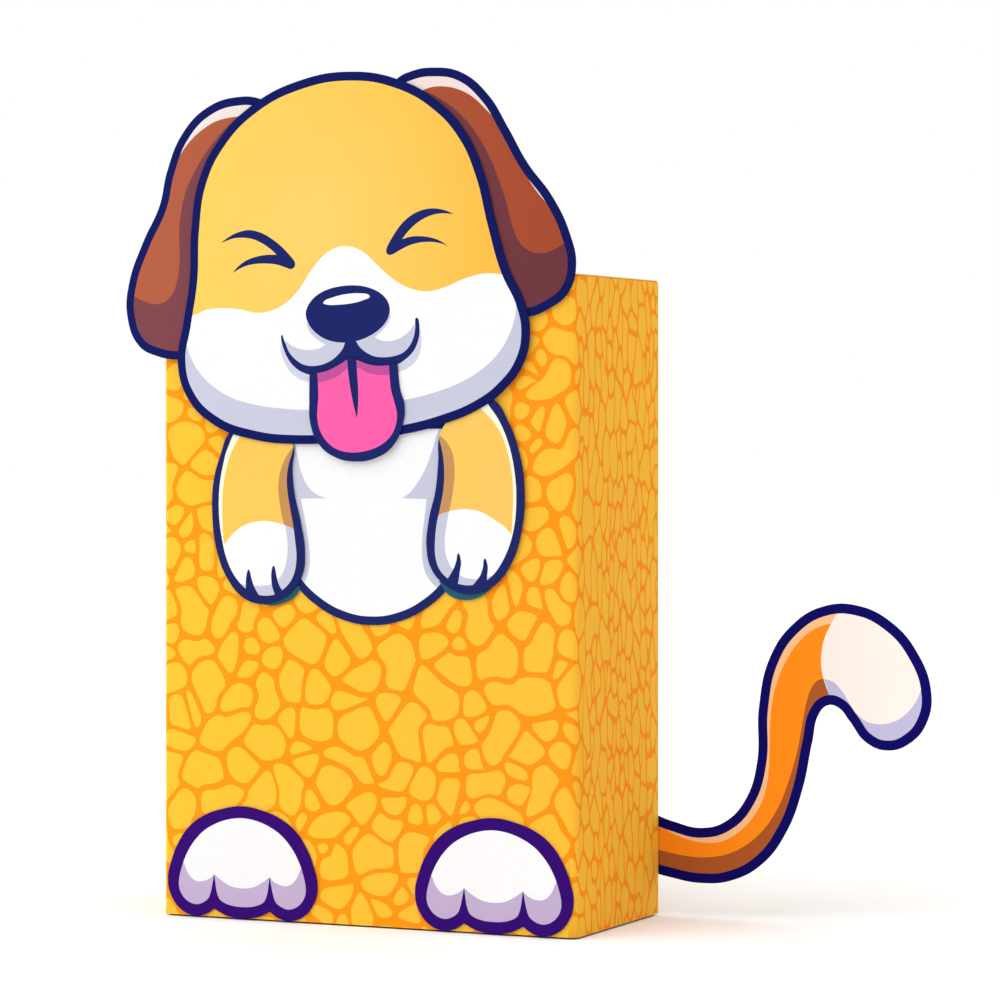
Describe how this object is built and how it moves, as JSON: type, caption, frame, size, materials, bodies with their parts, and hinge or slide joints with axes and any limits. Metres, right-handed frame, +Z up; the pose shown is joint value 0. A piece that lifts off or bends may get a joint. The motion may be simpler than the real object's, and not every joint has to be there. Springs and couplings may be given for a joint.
{
  "type": "paper bag puppet",
  "caption": "Puppy paper bag puppet: a gusseted paper bag standing on its open mouth, with card head, ears, tongue, belly, arms, feet and tail.",
  "frame": {"origin": "middle of the front panel's bottom edge, in the middle of the paper's thickness; the bag stands on z = 0", "axes": "+Z up, -Y the way the puppy faces, +X the viewer's right, where the tail comes out"},
  "size_m": [0.3113, 0.087, 0.3348],
  "materials": {
    "bag_paper": "matte, printed",
    "bag_inside_paper": "matte, unprinted",
    "head_card": "printed satin card",
    "ear_card": "printed satin card",
    "tongue_card": "printed satin card",
    "belly_card": "printed satin card",
    "arm_card": "printed satin card",
    "foot_card": "printed satin card",
    "tail_card": "printed satin card"
  },
  "bodies": {
    "front": {"front_panel": "bag_paper", "torso_card": "belly_card", "left_arm_shoulder": "arm_card", "right_arm_shoulder": "arm_card", "left_foot_card": "foot_card", "right_foot_card": "foot_card"},
    "left_gusset_front": {"left_gusset_front": "bag_paper"},
    "left_gusset_rear": {"left_gusset_rear": "bag_paper"},
    "right_gusset_front": {"right_gusset_front": "bag_paper"},
    "right_gusset_rear": {"right_gusset_rear": "bag_paper"},
    "back": {"back_panel": "bag_paper", "back_seam_strip": "bag_paper", "tail_tab": "tail_card"},
    "roof": {"roof_panel": "bag_paper", "roof_tuck_left": "bag_inside_paper", "roof_tuck_right": "bag_inside_paper"},
    "head": {"flap_panel": "bag_paper", "flap_hem": "bag_inside_paper", "head_card": "head_card", "left_ear_card": "ear_card", "right_ear_card": "ear_card"},
    "tongue": {"tongue_card": "tongue_card"},
    "left_paw": {"left_arm_card": "arm_card"},
    "right_paw": {"right_arm_card": "arm_card"},
    "tail": {"tail_card": "tail_card"}
  },
  "joints": [
    {"name": "bag_fold", "type": "hinge", "parent": "front", "child": "left_gusset_front", "pos_m": [-0.0896, 0.0005, 0.1263], "axis": [0, 0, -1], "range_deg": [0, 88]},
    {"name": "left_gusset_crease", "type": "hinge", "parent": "left_gusset_front", "child": "left_gusset_rear", "pos_m": [-0.09, 0.0413, 0.1263], "axis": [0, 0, 1], "range_deg": [0, 176]},
    {"name": "back_crease", "type": "hinge", "parent": "left_gusset_rear", "child": "back", "pos_m": [-0.0896, 0.0821, 0.1263], "axis": [0, 0, -1], "range_deg": [0, 88]},
    {"name": "right_front_crease", "type": "hinge", "parent": "front", "child": "right_gusset_front", "pos_m": [0.0896, 0.0005, 0.1263], "axis": [0, 0, 1], "range_deg": [0, 88]},
    {"name": "right_gusset_crease", "type": "hinge", "parent": "right_gusset_front", "child": "right_gusset_rear", "pos_m": [0.09, 0.0413, 0.1263], "axis": [0, 0, -1], "range_deg": [0, 176]},
    {"name": "roof_lift", "type": "hinge", "parent": "back", "child": "roof", "pos_m": [0, 0.0828, 0.2536], "axis": [-1, 0, 0], "range_deg": [0, 90]},
    {"name": "head_nod", "type": "hinge", "parent": "roof", "child": "head", "pos_m": [0, -0.0005, 0.2536], "axis": [-1, 0, 0], "range_deg": [0, 88]},
    {"name": "tongue_lift", "type": "hinge", "parent": "head", "child": "tongue", "pos_m": [-0.0024, -0.0029, 0.223], "axis": [-1, 0, 0], "range_deg": [0, 75]},
    {"name": "left_paw_lift", "type": "hinge", "parent": "front", "child": "left_paw", "pos_m": [-0.049, -0.0018, 0.176], "axis": [-1, 0, 0], "range_deg": [0, 80]},
    {"name": "right_paw_lift", "type": "hinge", "parent": "front", "child": "right_paw", "pos_m": [0.05, -0.0018, 0.176], "axis": [-1, 0, 0], "range_deg": [0, 80]},
    {"name": "tail_swing", "type": "hinge", "parent": "back", "child": "tail", "pos_m": [0.0908, 0.0836, 0.0275], "axis": [0, 0, 1], "range_deg": [-80, 170]}
  ],
  "couplings": [
    {"joint": "left_gusset_crease", "follows": "bag_fold", "ratio": 2},
    {"joint": "back_crease", "follows": "bag_fold", "ratio": 1},
    {"joint": "right_front_crease", "follows": "bag_fold", "ratio": 1},
    {"joint": "right_gusset_crease", "follows": "bag_fold", "ratio": 2}
  ]
}
